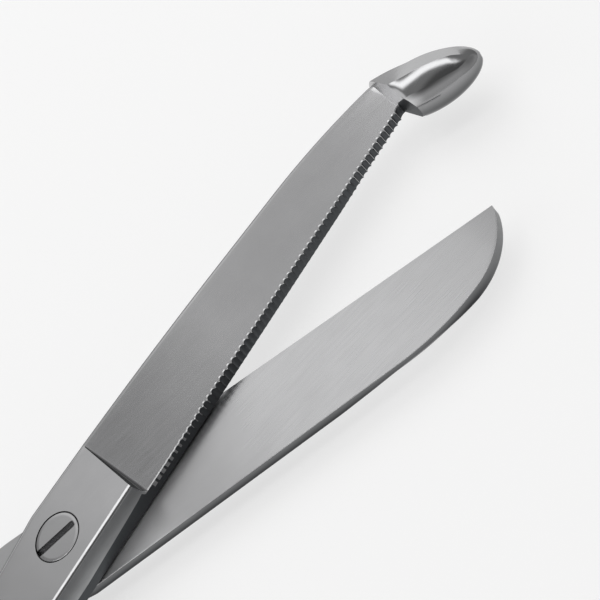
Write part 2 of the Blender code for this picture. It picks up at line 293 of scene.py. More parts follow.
room_level, strip_slant = 0.30, 0.45
east, north, height = add_node(room, "ShaderNodeSeparateXYZ", {}, {}, {0: where}).outputs
screen = light(-0.18, band(north, -0.95, -0.75, -0.45, -0.28), ease(height, 0.40, 0.60),
               band(east, -0.75, -0.45, 0.55, 0.80))
slanting = calculate("ADD", north, calculate("MULTIPLY", east, strip_slant))
level = calculate("ADD", screen, room_level)
lights = {
    "tall light": light(0.70, band(east, -0.38, -0.04, 0.0, 0.30), band(height, 0.15, 0.45, 0.80, 0.99),
                        ease(north, 0.0, 0.1)),
    "glow": light(0.25, band(east, -0.03, 0.07, 0.6, 0.9), band(north, 0.0, 0.1, 0.5, 0.6), ease(height, 0.6, 0.8)),
    "side glow": light(0.20, band(east, 0.18, 0.34, 0.6, 0.9), band(north, -0.05, 0.1, 0.3, 0.5),
                       ease(height, 0.6, 0.8)),
    "strip": light(2.00, band(slanting, -0.19, -0.08, 0.04, 0.13), band(east, -0.66, -0.46, 0.45, 0.65),
                   ease(height, 0.6, 0.8)),
    "far horizon": light(0.37, band(height, -0.5, -0.3, 0.1, 0.35), ease(north, 0.6, 0.9)),
    "low front": light(0.28, band(height, -0.5, -0.3, 0.20, 0.50), ease(north, 0.1, -0.2)),
    "left wall": light(0.75, ease(east, -0.55, -0.80), band(height, -0.3, 0.0, 0.6, 0.8)),
}
for part in lights.values():
    level = calculate("ADD", level, part)
rays = add_node(room, "ShaderNodeLightPath")
lit = add_node(room, "ShaderNodeBackground", {}, {0: linear("#FFFFFF")}, {1: level})
white = add_node(room, "ShaderNodeBackground", {}, {0: linear("#FFFFFF"), 1: 1.0})
seen = add_node(room, "ShaderNodeMixShader", {}, {},
                {0: rays.outputs["Is Camera Ray"], 1: lit.outputs[0], 2: white.outputs[0]})
add_node(room, "ShaderNodeOutputWorld", {}, {}, {0: seen.outputs[0]})
print("room lights:", list(lights))

# %% [markdown]
# ## Floor and key light
#
# The floor is white paper. Most of its white is its own, so that it stays white in every
# view and in the steel, and the rest is lit, which keeps the shears' soft shadow on it. One
# large soft lamp stands above the far side.

# %% Floor and lamp
paper = bpy.data.materials.new("white paper floor")
paper.use_nodes = True
tree = paper.node_tree
tree.nodes.clear()
own = add_node(tree, "ShaderNodeEmission", {}, {0: linear("#FFFFFF"), 1: 0.65})
lit = add_node(tree, "ShaderNodeBsdfDiffuse", {}, {0: linear("#A0A0A0")})
bright = add_node(tree, "ShaderNodeAddShader", {}, {}, {0: own.outputs[0], 1: lit.outputs[0]})
rays = add_node(tree, "ShaderNodeLightPath")
seen = rays.outputs["Is Camera Ray"]
for kind in ("Is Glossy Ray", "Is Transmission Ray"):
    seen = add_node(tree, "ShaderNodeMath", {"operation": "MAXIMUM"}, {}, {0: seen, 1: rays.outputs[kind]}).outputs[0]
mixed = add_node(tree, "ShaderNodeMixShader", {}, {}, {0: seen, 1: lit.outputs[0], 2: bright.outputs[0]})
add_node(tree, "ShaderNodeOutputMaterial", {}, {}, {0: mixed.outputs[0]})
floor_mesh = bpy.data.meshes.new("floor")
reach = 3.0
floor_corners = [(-reach, -reach, 0), (reach, -reach, 0), (reach, reach, 0), (-reach, reach, 0)]
floor_mesh.from_pydata(floor_corners, [], [(0, 1, 2, 3)])
floor_mesh.materials.append(paper)
floor = bpy.data.objects.new("floor", floor_mesh)
floor.location.z = -0.0001
bpy.context.scene.collection.objects.link(floor)
print("floor side in m:", 2 * reach)
lamp = bpy.data.lights.new("soft key", "AREA")
lamp.energy, lamp.size, lamp.color = 1.2, 0.5, (1.0, 1.0, 1.0)
key = bpy.data.objects.new("soft key", lamp)
key.location = (0.15, 0.45, 0.55)
key.rotation_euler = (Vector((0.04, 0, 0)) - key.location).to_track_quat("-Z", "Y").to_euler()
key.visible_glossy = False
bpy.context.scene.collection.objects.link(key)

# %% [markdown]
# ## Steel finishes
#
# Surgical shears are forged from martensitic stainless steel, hardened and then ground. The
# wide faces have a fine satin from a belt: straight scratches a few hundredths of a
# millimetre apart, too fine to show, so they are drawn as soft streaks about half a
# millimetre wide. The narrow sides are duller, tumbled after forging, the grooved band is
# dark from its grinding wheel, and the probe is polished, because it touches skin. They are
# one metal with other base colours and roughness, and a metal keeps the usual IOR.
#
# Most surfaces change their tone along the piece, and a smooth step on one of the object's
# own axes does it. These steps are painted light and shade that stand in for the room the
# steel mirrors: the grooved blade is painted darker near the joint and paler towards the
# neck, the plain back darkens downwards, and so does the probe's underside. Two of them make
# up for the room, which is simpler here than a real one: close to the joint the plain face and
# the joint's own side mirror each other too darkly, so both are painted paler and are less
# glossy there than the steel would be.

# %% Materials
def steel(name, colour, roughness, streak, mottle, bump, turn=0.0, painted_tone_steps=(), matte=None):
    """Steel with faint streaks along the blade and soft patches, both as roughness and colour.

    The streaks are noise stretched 14 to 1 along the blade; the patches are noise of about 12 mm.
    Each tone step is (axis, from mm, to mm, colour), painted light and shade that eases to that colour along the axis.
    matte is (from mm, to mm, extra) for roughness that is higher by extra up to the first x.
    """
    material = bpy.data.materials.new(name)
    material.use_nodes = True
    tree = material.node_tree
    shader = tree.nodes["Principled BSDF"]
    shader.inputs["Metallic"].default_value = 1.0
    place = add_node(tree, "ShaderNodeTexCoord").outputs["Object"]
    along = add_node(tree, "ShaderNodeMapping", {}, {"Rotation": (0, 0, turn), "Scale": (150.0, 2100.0, 2100.0)},
                     {0: place})
    grain = add_node(tree, "ShaderNodeTexNoise", {}, {"Scale": 1.0, "Detail": 3.0}, {0: along.outputs[0]})
    patches = add_node(tree, "ShaderNodeTexNoise", {}, {"Scale": 85.0, "Detail": 3.0, "Roughness": 0.55}, {0: place})
    shade = add_node(tree, "ShaderNodeMapRange", {}, {1: 0.3, 2: 0.7, 3: 1.0 - mottle, 4: 1.0 + mottle},
                     {0: patches.outputs[0]})
    tint = add_node(tree, "ShaderNodeMix", {"data_type": "RGBA", "blend_type": "MULTIPLY"},
                    {0: 1.0, 6: linear(colour)}, {7: shade.outputs[0]})
    parts = add_node(tree, "ShaderNodeSeparateXYZ", {}, {}, {0: place})
    base = None
    for axis, low, high, other in painted_tone_steps:
        share = add_node(tree, "ShaderNodeMapRange", {"interpolation_type": "SMOOTHSTEP"},
                         {1: low * mm, 2: high * mm}, {0: parts.outputs[axis]})
        ramp = add_node(tree, "ShaderNodeMix", {"data_type": "RGBA"}, {6: linear(colour), 7: linear(other)},
                        {0: share.outputs[0]})
        if base is not None:
            tree.links.new(base, ramp.inputs[6])
        base = ramp.outputs[2]
        tree.links.new(base, tint.inputs[6])
    tree.links.new(tint.outputs[2], shader.inputs["Base Color"])
    gloss = add_node(tree, "ShaderNodeMapRange", {}, {1: 0.25, 2: 0.75, 3: roughness - streak, 4: roughness + streak},
                     {0: grain.outputs[0]})
    if matte:
        low, high, extra = matte
        more = add_node(tree, "ShaderNodeMapRange", {"interpolation_type": "SMOOTHSTEP"},
                        {1: low * mm, 2: high * mm, 3: extra, 4: 0.0}, {0: parts.outputs["X"]})
        gloss = add_node(tree, "ShaderNodeMath", {"operation": "ADD"}, {}, {0: gloss.outputs[0], 1: more.outputs[0]})
    tree.links.new(gloss.outputs[0], shader.inputs["Roughness"])
    relief = add_node(tree, "ShaderNodeBump", {}, {"Strength": bump, "Distance": 0.00002}, {"Height": grain.outputs[0]})
    tree.links.new(relief.outputs[0], shader.inputs["Normal"])
    return material


satin_face, dull_side, wheel_band, probe_face, blade_face = range(5)
finishes = {
    "serrated": [
        # even and bright, with soft edges to what it mirrors
        steel("belt satin stainless steel", "#BEBEBF", 0.24, 0.03, 0.05, 0.25, -half_angle),
        # dull, hardly mirrors anything; painted paler than the steel would be, and painted shade darker towards the top
        steel("tumbled stainless steel", "#B6B7B8", 0.62, 0.04, 0.06, 0.25, -half_angle, [("Z", 6.3, 10.0, "#7B7C7D")]),
        # dark, because its fine furrows scatter what it mirrors
        steel("wheel ground stainless steel", "#505254", 0.45, 0.04, 0.08, 0.25, -half_angle),
        # sharp light and dark lines, and painted shade: darker towards the underside
        steel("polished stainless steel", "#595A5B", 0.13, 0.02, 0.03, 0.10, -half_angle,
              [("Z", 6.0, 10.5, "#ABABAC")]),
        # the same satin, with painted shade and light: darker at the root of the blade, paler towards the neck
        steel("belt satin steel of the blade", "#A5A5A6", 0.24, 0.03, 0.05, 0.25, -half_angle,
              [("X", 20.0, 40.0, "#BABABB"), ("X", 70.0, 84.0, "#C5C5C6")]),
    ],
    "plain": [
        # the brightest face, with faint long streaks, matt near the joint; its tone steps along the blade are painted
        # light and shade, the pale one at the joint painted light
        steel("fine satin stainless steel", "#BDBDBE", 0.27, 0.03, 0.04, 0.25, half_angle,
              [("X", -3.0, 8.0, "#E2E2E3"), ("X", 10.0, 18.0, "#C4C4C5"), ("X", 30.0, 44.0, "#CBCBCC"),
               ("X", 73.0, 83.0, "#B6B6B7")], (12.0, 36.0, 0.22)),
        # painted shade and light: dark at the foot, paler at the rim and at the tip
        steel("shaded back of stainless steel", "#2E2F31", 0.42, 0.04, 0.06, 0.25, half_angle,
              [("Z", 3.3, 5.3, "#777879"), ("X", 68.0, 79.0, "#7E7F80")]),
        # dark like the other band, from the same wheel
        steel("ground edge stainless steel", "#505254", 0.45, 0.04, 0.08, 0.25, half_angle),
    ],
    # as bright as the joint round it, since both were ground in one pass
    "screw": [
        steel("turned stainless steel, belt satin with the joint", "#B4B4B5", 0.24, 0.03, 0.05, 0.25, -half_angle),
    ],
}
print("finishes:", [finish.name for half in finishes.values() for finish in half])

# %% [markdown]
# ## The outline of a half
#
# Cut either half across and the outline has five corners: the cutting edge, the rim of the
# ground band above it, the two ends of the bevel along the back, and the back's own corner on
# the inner face. Four corners are rounded by a quadratic curve. The rim isn't round: a file
# or belt was run along it and left narrow flats with crisp lines between them, and each flat
# mirrors another part of the room. So the rim has its own list of shares (a, b) of its two
# cuts. Every section of blade, joint and shank is this same outline with other numbers, so
# all of them can be worked out at once as arrays and carried along the half.

# %% Outline with five corners
corner_points = 8
side_points = (9, 10, 2, 5, 10)
starts = np.cumsum([0] + [corner_points + count for count in side_points])
t8 = np.linspace(0, 1, corner_points)
round_rim = np.stack([t8**2, (1 - t8) ** 2], -1)
joint_rim = np.array([(0, 1), (0.09, 0.739), (0.223, 0.570), (0.356, 0.401),
                      (0.489, 0.232), (0.659, 0.155), (0.83, 0.077), (1, 0)])
blade_rim = np.array([(0, 1), (0.03, 0.80), (0.09, 0.62), (0.27, 0.50),
                      (0.45, 0.38), (0.64, 0.25), (0.82, 0.125), (1, 0)])
mid_edge = corner_points // 2


def rounded_outline(corners, cuts, band_share, rim):
    """Outlines (path, N, 2) from corners (path, 5, 2), their two cuts (path, 5, 2) and the rim's shares.

    A corner c with the side directions d and e becomes c - d p a + e q b, where p and q are its
    cuts and (b, a) a list of shares; a round corner has a = (1 - t)^2 and b = t^2. The sides get
    even points, but the first side has most of its points below band_share of its height, so
    that the ground band has its own line of faces.
    """
    following = np.roll(corners, -1, axis=1)
    side = following - corners
    length = np.linalg.norm(side, axis=2)
    direction = side / length[..., None]
    wanted = cuts[:, :, 1] + np.roll(cuts[:, :, 0], -1, axis=1)
    fit = np.minimum(1.0, 0.96 * length / wanted)
    after = direction * (cuts[:, :, 1] * fit)[..., None]
    before = -np.roll(direction, 1, axis=1) * (cuts[:, :, 0] * np.roll(fit, 1, axis=1))[..., None]
    pieces = []
    for k, count in enumerate(side_points):
        shares = np.broadcast_to(rim if k == 1 else round_rim, (len(corners), corner_points, 2))
        curve = corners[:, k, None] + before[:, k, None] * shares[..., 1:] + after[:, k, None] * shares[..., :1]
        pieces.append(curve)
        end = (following[:, k] + before[:, (k + 1) % 5])[:, None]
        share = np.linspace(0, 1, count + 2)[None, 1:-1, None] * np.ones((len(corners), 1, 1))
        if k == 0:
            low = np.linspace(0, 1, count - 1)[None, 1:, None] * band_share[:, None, None]
            high = mix(band_share[:, None, None], 1.0, np.array([0.33, 0.66])[None, :, None])
            share = np.concatenate([low, high], axis=1)
        pieces.append(curve[:, -1:] * (1 - share) + end * share)
    return np.concatenate(pieces, axis=1)


def finish_row():
    """Finish for each column of faces: the ground band, the sides above it and at the back, and the faces."""
    index = np.full(starts[-1], satin_face, dtype=np.int32)
    index[mid_edge : starts[1]] = dull_side
    index[starts[3] : starts[4]] = dull_side
    index[mid_edge : corner_points + side_points[0] - 2] = wheel_band
    index[starts[2] + corner_points : starts[3]] = dull_side
    return index


# %% [markdown]
# ## Back lines
#
# The backs run straight from the joint, ease into a long bend, and close at the neck or the
# tip with a tighter one. Such a line is a heading that turns at a steady rate on each run, so
# the points are running sums of its cosine and sine.

# %% Back lines of both blades
def bent_line(start_u, runs, step=0.2):
    """x and u of a line heading down by 0.0437 that turns by length / radius on each run."""
    turn_rate = np.concatenate([np.full(max(int(length / step), 1), step / radius) for length, radius in runs])
    heading = 0.0437 + np.cumsum(turn_rate) - turn_rate / 2
    x = np.concatenate([[0.0], np.cumsum(np.cos(heading) * step)])
    u = start_u - np.concatenate([[0.0], np.cumsum(np.sin(heading) * step)])
    return x, u


straight = 1e9
serrated_line = bent_line(7.77, [(19.0, straight), (30.0, 670.0), (15.0, straight), (23.4, 118.0), (2.2, 3.2)])
plain_line = bent_line(7.75, [(58.4, straight), (16.0, 42.4), (19.0, 14.5)])
plain_tip = np.argmax(plain_line[1] < -9.3)
plain_line = (plain_line[0][: plain_tip + 1], plain_line[1][: plain_tip + 1])
print("neck at", round(float(serrated_line[0][-12]), 2), "tip at", round(float(plain_line[0][-1]), 2))

# %% [markdown]
# ## Flutes of the grooved edge
#
# The edge is cut by a thin round wheel, once every 1.15 mm, straight through the band. So
# each flute is part of a cylinder: at a distance d from its middle the edge steps back by
# the square root of R^2 - d^2, less R minus the depth. The first flutes near the joint are
# only touched by the wheel. The wheel leans, so that it bites the rim and hardly the cutting
# edge, apart from the last flutes, which go right through. One wide flute, cut by hand with
# a larger wheel, ends the row in front of the probe.

# %% Flutes
pitch, first_flute, flute_count, wheel = 1.152, 15.37, 61, 0.57
flutes = first_flute + pitch * np.arange(flute_count)
last_flute, last_half = 85.95, 0.88


def flute_cut(x):
    """How far the rim steps back at x, in mm."""
    nearest = first_flute + pitch * np.clip(np.round((x - first_flute) / pitch), 0, flute_count - 1)
    depth = mix(0.03, 0.40, smooth((nearest - first_flute) / 20.0))
    reach = np.maximum(wheel**2 - (x - nearest) ** 2, 0.0)
    bite = np.maximum(np.sqrt(reach) - (wheel - depth), 0.0)
    wide = 0.5 * np.sqrt(np.maximum(1.0 - ((x - last_flute) / last_half) ** 2, 0.0))
    return np.where(np.abs(x - last_flute) < last_half, wide, bite)


across_flute = 0.545 * np.sin(np.linspace(-np.pi / 2, np.pi / 2, 9))
flute_stations = (flutes[:, None] + across_flute[None, :]).ravel()
last_stations = last_flute + last_half * np.sin(np.linspace(-np.pi / 2, np.pi / 2, 13))
print(flute_count, "flutes and a wide one")

# %% [markdown]
# ## Sizes of the two halves
#
# A pair of numbers runs from the joint to the blade's end. The serrated blade keeps a thick
# back and a broad band; the plain blade thins to its tip, and its lower side is rounded off
# from the back.

# %% Sizes
halves = {
    "serrated": dict(edge=7.65, rear=6.35, back0=7.77, band=(2.0, 1.75), lean=0.15, spine=(5.3, 4.0), bevel=(0.9, 0.8),
                     side=([13.8, 86.8], [4.9, 3.65]), line=serrated_line, reach=86.8, hole=(32.0, 24.0)),
    "plain": dict(edge=9.83, rear=6.2, back0=7.75, band=(2.0, 1.0), lean=0.3, spine=(5.3, 3.0), bevel=(4.2, 1.0),
                  side=([14, 47, 53, 60, 65, 69, 73, 82], [1.82, 1.80, 1.50, 0.95, 1.10, 1.70, 2.30, 2.40]),
                  line=plain_line, reach=82.0, hole=(46.0, 27.0)),
}
step_edge, step_back, joint_rear = 12.3, 13.8, 12.0


def corner_array(*columns):
    """Corners (path, 5, 2) from ten numbers or arrays, x before y."""
    return np.stack(np.broadcast_arrays(*[np.asarray(c, float) for c in columns]), -1).reshape(-1, 5, 2)


def blade_outlines(size, x, bite):
    """Outlines of the blade at x, with the rim stepped back by bite along the sloping face."""
    share = np.clip((x - step_back) / (size["reach"] - step_back), 0, 1)
    band, spine, bevel = (mix(*size[name], share) for name in ("band", "spine", "bevel"))
    side, back = np.interp(x, *size["side"]), np.interp(x, *size["line"])
    low = -size["edge"]
    slope = (spine - band) / (back - bevel - low - size["lean"])
    rim_u, rim_v = low + size["lean"] + bite, band + slope * bite
    low_bite = bite * mix(0.12, 0.85, smooth((x - 66.0) / 10.0))
    corners = corner_array(low + low_bite, 0, rim_u, rim_v, back - bevel, spine, back, side, back, 0)
    cuts = corner_array(0.05, 0.05, 0.070, 0.185, 0.25, 0.25, 0.35, 0.35, 0.08, 0.08) * np.ones((len(x), 1, 1))
    return rounded_outline(corners, cuts, np.full(len(x), 0.999), blade_rim)


def joint_outlines(size, x, back):
    """Outlines of the joint: full thickness up to both sides, with a dark ground facet at the foot."""
    low = -size["edge"]
    corners = corner_array(low, 0, low + 0.45, half_thickness, back - size["bevel"][0], half_thickness,
                           back, size["side"][1][0], back, 0)
    cuts = corner_array(0.08, 0.08, 0.574, 0.612, 0.25, 0.25, 0.35, 0.35, 0.08, 0.08) * np.ones((len(back), 1, 1))
    facet = np.interp(x, [-3.0, 0.0, 8.0, 14.0], [0.02, 0.30, 1.0, 1.7]) / half_thickness
    return rounded_outline(corners, cuts, facet, joint_rim)


# %% [markdown]
# ## Handles
#
# The photograph stops behind the pivot, so the handles are plain: a shank that narrows from
# the joint, drops to the level of its ring, and runs into the side of an oval ring. The
# middle line is a cubic curve to the straight part, then eases over to the ring. The section
# is the same outline, rounded more and more.

# %% Shank sections
shear_turn = np.radians(4.5)
handle_x = np.array([np.cos(shear_turn), -np.sin(shear_turn)])
handle_y = np.array([np.sin(shear_turn), np.cos(shear_turn)])
rod_width, rod_height, shank_width, shank_height = 5.6, 7.2, 7.5, 6.4


def ring_place(half):
    """Centre along and across the handle, half length, half width, and height of the ring's middle."""
    length, width = halves[half]["hole"]
    half_length, half_width = (length + rod_width) / 2, (width + rod_width) / 2
    level = rod_height / 2 - lift_of["serrated"] if half == "serrated" else half_thickness - rod_height / 2
    return -(70.0 + half_length + rod_width / 2), -(0.4 + rod_width / 2 + half_width), half_length, half_width, level


def shank_sections(half):
    """Centres (x, u), middle heights, across directions, widths, heights and roundness along the shank."""
    size = halves[half]
    along, across, half_length, half_width, level = ring_place(half)
    merge = np.array([along + half_length * 0.35, across + half_width * np.sin(np.arccos(0.35))])
    start = np.array([-joint_rear, (size["rear"] - size["edge"]) / 2])
    rear = handle_x * -34.0 + handle_y * -4.35
    pull = np.linalg.norm(start - rear) / 3
    hold, ease = start - (pull, 0), rear + handle_x * pull
    t = np.linspace(0, 1, 25)[1:, None]
    bend = start * (1 - t) ** 3 + hold * 3 * t * (1 - t) ** 2 + ease * 3 * t * t * (1 - t) + rear * t**3
    slope = (hold - start) * (1 - t) ** 2 + (ease - hold) * 2 * t * (1 - t) + (rear - ease) * t * t
    slope = -slope / np.linalg.norm(slope, axis=1)[:, None]
    soft = smooth(t[:, 0])
    share = np.linspace(0, 1, 61)[1:]
    run = mix(-34.0, merge[0], share)
    rest = run[:, None] * handle_x + mix(-4.35, merge[1], smooth(share))[:, None] * handle_y
    crank = smooth((-run - 34.0) / 24.0)
    narrow = smooth((-run - 58.0) / (-merge[0] - 58.0))
    centre = np.concatenate([bend, rest])
    direction = np.concatenate([slope, np.broadcast_to(handle_x, rest.shape)])
    width = np.concatenate([mix(size["edge"] + size["rear"], shank_width, soft),
                            mix(shank_width, rod_width - 1.0, narrow)])
    height = np.concatenate([np.full(24, half_thickness),
                             mix(mix(half_thickness, shank_height, crank), rod_height - 1.0, narrow)])
    middle = np.concatenate([np.full(24, half_thickness / 2), mix(half_thickness / 2, level, crank)])
    return centre, direction, middle, width, height, np.concatenate([soft, np.ones(60)])


def shank_outlines(half):
    """World grid of the shank: the joint's outline that turns into a rounded rod."""
    size = halves[half]
    centre, direction, middle, width, height, soft = shank_sections(half)
    round_w, round_h = width * 0.42, height * 0.42
    bevel_w = mix(size["bevel"][0], round_w / 2, soft)
    bevel_h = mix(half_thickness - size["side"][1][0], round_h / 2, soft)
    left, right, top = -width / 2, width / 2, height / 2
    corners = corner_array(left, -top, left + mix(0.45, 0, soft), top, right - bevel_w, top,
                           right, top - bevel_h, right, -top)
    low_w, low_h = mix(0.1, round_w, soft), mix(0.1, round_h, soft)
    bevel_cut, side_cut = mix(0.25, round_w / 2, soft), mix(0.35, round_h / 2, soft)
    cuts = corner_array(low_w, low_h, mix(0.574, round_h, soft), mix(0.612, round_w, soft), bevel_cut, bevel_cut,
                        side_cut, side_cut, low_h, low_w)
    rim = mix(joint_rim, round_rim, soft[:, None, None])
    outline = rounded_outline(corners, cuts, np.full(len(width), 0.3), rim)
    across = np.stack([-direction[:, 1], direction[:, 0]], -1)
    flat = centre[:, None] + outline[..., :1] * across[:, None]
    return np.concatenate([flat, outline[..., 1:] + middle[:, None, None]], axis=2)


def ring_grid(half, turns=176, rolls=40):
    """Half-frame grid of the ring: an ellipse in plan, and an elliptical rod about it."""
    along, across, half_length, half_width, level = ring_place(half)
    turn = np.linspace(0, 2 * np.pi, turns, endpoint=False)[:, None]
    roll = np.linspace(0, 2 * np.pi, rolls, endpoint=False)[None, :]
    centre = (along + half_length * np.cos(turn)) * handle_x + (across + half_width * np.sin(turn)) * handle_y
    normal = half_width * np.cos(turn) * handle_x + half_length * np.sin(turn) * handle_y
    normal /= np.linalg.norm(normal, axis=1)[:, None]
    flat = centre[:, None] + normal[:, None] * (rod_width / 2 * np.cos(roll))[..., None]
    height = level + rod_height / 2 * np.sin(roll) * np.ones_like(turn)
    return np.concatenate([flat, height[..., None]], axis=2)


# %% [markdown]
# ## One forging
#
# Blade, joint and shank are one long sweep of outlines. Between blade and joint the outline
# steps up to full thickness over about a millimetre, first as a fillet, then as a steep
# riser, along a line that slants across.
# The ring is joined to the shank, and the corner where they meet is filled the way a
# forging's die would leave it: points near both surfaces move to the middle of their
# neighbours again and again, which fills a sharp valley with a smooth one.

# %% Sweep and ring
# columns over the band's middle where the crests get the satin as painted highlights
painted_crest_highlights = slice(11, 14)


def half_grid(half, blade_x):
    """Half-frame grid (path, outline, 3), the finish of each quad and its crisp lines, from the blade's end.

    The crests between the grooves get the satin of the face as painted highlights: over the band's
    middle near the joint, and over its whole height near the probe.
    """
    size = halves[half]
    bite = flute_cut(blade_x) if half == "serrated" else np.zeros_like(blade_x)
    blade = blade_outlines(size, blade_x, bite)
    blade = np.concatenate([np.repeat(blade_x[:, None, None], blade.shape[1], 1), blade], axis=2)
    foot = blade_outlines(size, np.array([step_back]), np.zeros(1))[0]
    ridge = joint_outlines(size, np.array([step_back]), np.interp([step_back], *size["line"]))[0]
    share = np.array([1.0, 0.86, 0.72, 0.58, 0.44, 0.32, 0.21, 0.11, 0.04, 0.0])[:, None]
    lift = np.array([0.0, 0.015, 0.06, 0.14, 0.26, 0.40, 0.57, 0.78, 0.94, 1.0])[:, None, None]
    outline = mix(foot[None], ridge[None], lift)
    across = (outline[..., 0] + size["edge"]) / (ridge[:, 0].max() + size["edge"])
    slant = mix(step_edge, step_back, across)
    x = slant + share * (0.3 + 0.23 * (ridge[:, 1] - foot[:, 1])[None])
    step = np.concatenate([x[..., None], outline], axis=2)
    joint_x = np.concatenate([np.linspace(11.2, 0.0, 16), np.linspace(-0.8, -joint_rear, 14)])
    rear_back = mix(size["back0"], size["rear"], -joint_x / joint_rear)
    back = np.where(joint_x >= 0, np.interp(joint_x, *size["line"]), rear_back)
    joint = joint_outlines(size, joint_x, back)
    joint = np.concatenate([np.repeat(joint_x[:, None, None], joint.shape[1], 1), joint], axis=2)
    grid = np.concatenate([blade, step, joint, shank_outlines(half)])
    index = np.repeat(finish_row()[None], len(grid) - 1, axis=0)
    fillet_end, riser_end = len(blade) + 5, len(blade) + 9
    handle_start = len(blade) + len(step) + len(joint) - 2
    # the riser takes the dark band finish, painted shade on the step
    index[fillet_end:riser_end, starts[1] + 2 : starts[2]] = wheel_band
    index[riser_end:, starts[1] : starts[1] + 1] = dull_side
    index[handle_start:] = np.where(index[handle_start:] == wheel_band, dull_side, index[handle_start:])
    if half == "serrated":
        on_face = index[:fillet_end, starts[1] + 2 :]
        on_face[on_face == satin_face] = blade_face
        on_blade = index[: len(blade) - 1]
        crest = bite[:-1] + bite[1:] < 0.02
        # the crests get the bright satin: painted highlights
        on_blade[crest & (blade_x[1:] > 72.0), mid_edge : starts[1]] = satin_face
        on_blade[crest & (blade_x[1:] < 30.0), painted_crest_highlights] = satin_face
    crisp = np.zeros(index.shape, dtype=bool)
    crisp[: len(blade) + 1, [[starts[1] + 2], [starts[1] + 7]]] = True
    crisp[riser_end - 1 : handle_start + 8, [[starts[1] + 4], [starts[1] + 7]]] = True
    return grid, index, crisp


def soften_meeting(piece, half, reach=2.6, rounds=60):
    """Move points that lie within reach of both shank and ring to the middle of their neighbours."""
    mesh = piece.data
    points = np.empty(len(mesh.vertices) * 3)
    mesh.vertices.foreach_get("co", points)
    points = points.reshape(-1, 3)
    centre, _, middle, width, _, _ = shank_sections(half)
    along, across, half_length, half_width, level = ring_place(half)
    turn = np.linspace(0, 2 * np.pi, 240)[:, None]
    ring = (along + half_length * np.cos(turn)) * handle_x + (across + half_width * np.sin(turn)) * handle_y
    ring = to_world(np.concatenate([ring, np.full((240, 1), level)], axis=1), half)
    shank = to_world(np.concatenate([centre, middle[:, None]], axis=1), half)
    near = np.where(points[:, 0] < -0.055)[0]
    from_ring = np.sqrt(((points[near, None] - ring[None]) ** 2).sum(2)).min(1) / mm - (rod_width + rod_height) / 4
    from_shank = np.sqrt(((points[near, None] - shank[None]) ** 2).sum(2)).min(1) / mm - 3.0
    weight = np.zeros(len(points))
    weight[near] = smooth(1.3 - np.maximum(np.abs(from_ring), np.abs(from_shank)) / reach)
    edges = np.empty(len(mesh.edges) * 2, dtype=np.int64)
    mesh.edges.foreach_get("vertices", edges)
    a, b = edges.reshape(-1, 2).T
    kept = (weight[a] > 0) | (weight[b] > 0)
    a, b = a[kept], b[kept]
    count = np.maximum(np.bincount(a, minlength=len(points)) + np.bincount(b, minlength=len(points)), 1)[:, None]
    for _ in range(rounds):
        total = np.zeros_like(points)
        np.add.at(total, a, points[b])
        np.add.at(total, b, points[a])
        points += (total / count - points) * (0.6 * weight)[:, None]
    mesh.vertices.foreach_set("co", points.ravel())
    mesh.update()
    print(half, "points softened:", int((weight > 0).sum()))


def make_half(half, name, blade_x):
    """One forging: the sweep of outlines from the blade's end to the ring, with the ring joined on."""
    grid, index, crisp = half_grid(half, blade_x)
    piece = make_piece(name, to_world(grid, half), finishes[half], index, crisp=crisp)
    ring = make_piece(name + "_ring", to_world(ring_grid(half), half), finishes[half], closed_path=True)
    combine(piece, ring, "UNION")
    soften_meeting(piece, half)
    print(name, "quads:", grid.shape[0] * grid.shape[1], "points after joining:", len(piece.data.vertices))
    return piece


bend_point = 300
plain_straight = np.linspace(plain_line[0][bend_point], step_back + 0.45, 56)
plain_x = np.concatenate([plain_line[0][:bend_point:-2], plain_straight])
inside_probe = [88.3, 88.0, 87.7, 87.4, 87.15]
serrated_x = np.concatenate([inside_probe, last_stations[::-1], flute_stations[::-1], [14.4]])
plain_half = make_half("plain", "plain_half_steel", plain_x)
serrated_half = make_half("serrated", "serrated_half_steel", serrated_x)

# %% [markdown]
# ## Probe tip
#
# The probe is an almond about 17 mm long that turns towards the cutting side. It is ground
# by hand, which leaves a flat slope along its back, a narrow crowned facet on top and a
# rounded flank, with crisp lines between them that run together near the nose. In section
# three chords lie between four points of a circle or a little outside it: the slope is
# straight, the other two bulge by a few hundredths, and the underside is the circle itself.
# Near the nose each chord eases into the arc of the circle, so that the end is round. The
# sections are carried along a curve from the neck to the nose.

# %% Probe
heel, bend, nose = np.array([86.3, -5.1]), np.array([90.9, -10.3]), np.array([98.9, -16.4])


